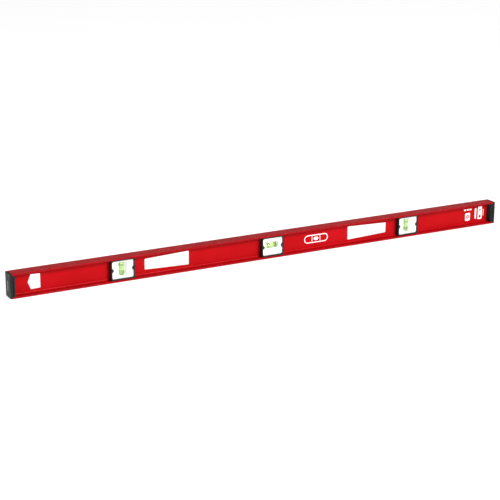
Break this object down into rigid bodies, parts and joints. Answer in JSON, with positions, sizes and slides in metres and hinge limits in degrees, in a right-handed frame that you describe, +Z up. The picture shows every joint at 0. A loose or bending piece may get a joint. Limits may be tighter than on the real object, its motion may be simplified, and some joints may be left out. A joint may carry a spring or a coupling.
{
  "type": "spirit level",
  "caption": "Long I-beam spirit level with a level vial between plumb vials, hand holes, a hang hole and rubber end caps.",
  "frame": {"origin": "middle of the bottom working face, at half the length and half the width", "axes": "+X along the length to the right, +Z up from the bottom working face to the top one, front faces -Y"},
  "size_m": [1.2192, 0.03, 0.053],
  "materials": {
    "red_paint": "satin",
    "black_rubber": "matte",
    "black_plastic": "satin",
    "white_plastic": "satin",
    "clear_acrylic": "gloss",
    "green_fluid": "gloss",
    "gas": "gloss",
    "black_steel": "satin"
  },
  "bodies": {
    "level": {"i_beam_frame": "red_paint", "end_cap_left": "black_rubber", "end_cap_right": "black_rubber", "left_plumb_housing_front": "black_plastic", "left_plumb_housing_rear": "black_plastic", "left_plumb_reflector_front": "white_plastic", "left_plumb_reflector_rear": "white_plastic", "left_plumb_screw_left": "black_steel", "left_plumb_screw_right": "black_steel", "left_plumb_vial_tube": "clear_acrylic", "left_plumb_vial_plug": "white_plastic", "left_plumb_fluid": "green_fluid", "centre_level_housing_front": "black_plastic", "centre_level_housing_rear": "black_plastic", "centre_level_reflector_front": "white_plastic", "centre_level_reflector_rear": "white_plastic", "centre_level_screw_left": "black_steel", "centre_level_screw_right": "black_steel", "centre_level_vial_tube": "clear_acrylic", "centre_level_vial_plug": "white_plastic", "centre_level_fluid": "green_fluid", "right_plumb_housing_front": "black_plastic", "right_plumb_housing_rear": "black_plastic", "right_plumb_reflector_front": "white_plastic", "right_plumb_reflector_rear": "white_plastic", "right_plumb_screw_left": "black_steel", "right_plumb_screw_right": "black_steel", "right_plumb_vial_tube": "clear_acrylic", "right_plumb_vial_plug": "white_plastic", "right_plumb_fluid": "green_fluid"},
    "left_plumb_bubble": {"left_plumb_bubble": "gas"},
    "centre_level_bubble": {"centre_level_bubble": "gas"},
    "right_plumb_bubble": {"right_plumb_bubble": "gas"}
  },
  "joints": [
    {"name": "left_plumb_bubble_slide", "type": "slide", "parent": "level", "child": "left_plumb_bubble", "axis": [0, 0, 1], "range_m": [-0.0238, 0], "stiffness_N_per_m": 20, "springref_m": 0.003, "deforming": ["left_plumb_fluid"]},
    {"name": "centre_level_bubble_slide", "type": "slide", "parent": "level", "child": "centre_level_bubble", "axis": [1, 0, 0], "range_m": [-0.0096, 0.0096], "stiffness_N_per_m": 5, "deforming": ["centre_level_fluid"]},
    {"name": "right_plumb_bubble_slide", "type": "slide", "parent": "level", "child": "right_plumb_bubble", "axis": [0, 0, 1], "range_m": [-0.0238, 0], "stiffness_N_per_m": 20, "springref_m": 0.003, "deforming": ["right_plumb_fluid"]}
  ]
}
